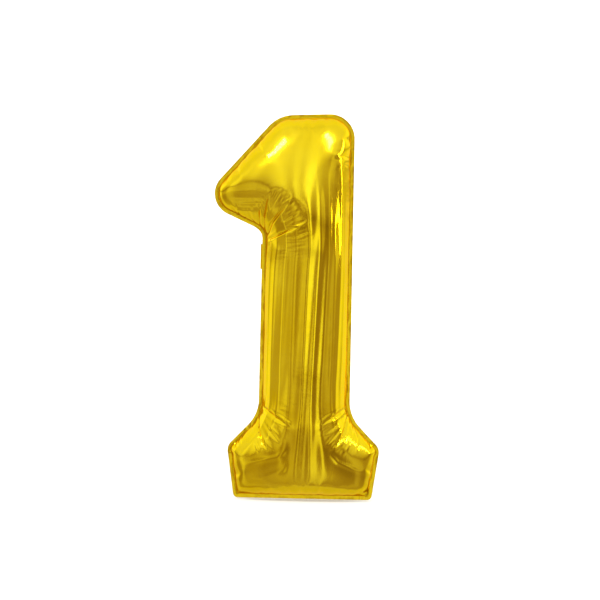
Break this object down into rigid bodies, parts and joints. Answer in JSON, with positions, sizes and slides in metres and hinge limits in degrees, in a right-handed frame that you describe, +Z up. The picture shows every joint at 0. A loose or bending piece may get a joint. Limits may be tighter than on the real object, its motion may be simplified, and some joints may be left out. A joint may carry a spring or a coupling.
{
  "type": "foil number balloon",
  "caption": "Inflated metallic film balloon shaped as the digit one, with a welded edge, a self-sealing valve and a folded inflation tail.",
  "frame": {"origin": "bottom centre of the inflated balloon's bounding box, in the plane of its welded edge", "axes": "+Z up the digit, -Y out of the digit's front, +X to the right as the digit is read"},
  "size_m": [0.3804, 0.2176, 0.8617],
  "materials": {
    "gold_foil": "mirror-bright metallised film",
    "valve_film": "clear glossy film",
    "weld_film": "fused film",
    "release_ink": "matt printed ink"
  },
  "bodies": {
    "balloon": {"front_foil_panel": "gold_foil", "back_foil_panel": "gold_foil", "perimeter_weld": "weld_film", "tail_crease": "gold_foil", "valve_front_film": "valve_film", "valve_neck_film": "valve_film", "valve_side_welds": "valve_film", "valve_tack_welds": "weld_film", "valve_ink_lane": "release_ink"},
    "valve_flap": {"valve_flap_film": "valve_film"},
    "tail": {"tail_front_ply": "gold_foil", "tail_back_ply": "gold_foil", "tail_valve_films": "valve_film", "tail_edge_welds": "weld_film"}
  },
  "joints": [
    {"name": "tail_fold", "type": "hinge", "parent": "balloon", "child": "tail", "pos_m": [-0.08297, 0, 0.54], "axis": [0, 0, 1], "range_deg": [0, 220]},
    {"name": "valve_open", "type": "hinge", "parent": "balloon", "child": "valve_flap", "pos_m": [-0.06829, -0.02024, 0.54], "axis": [0, 0, 1], "range_deg": [0, 5]}
  ]
}
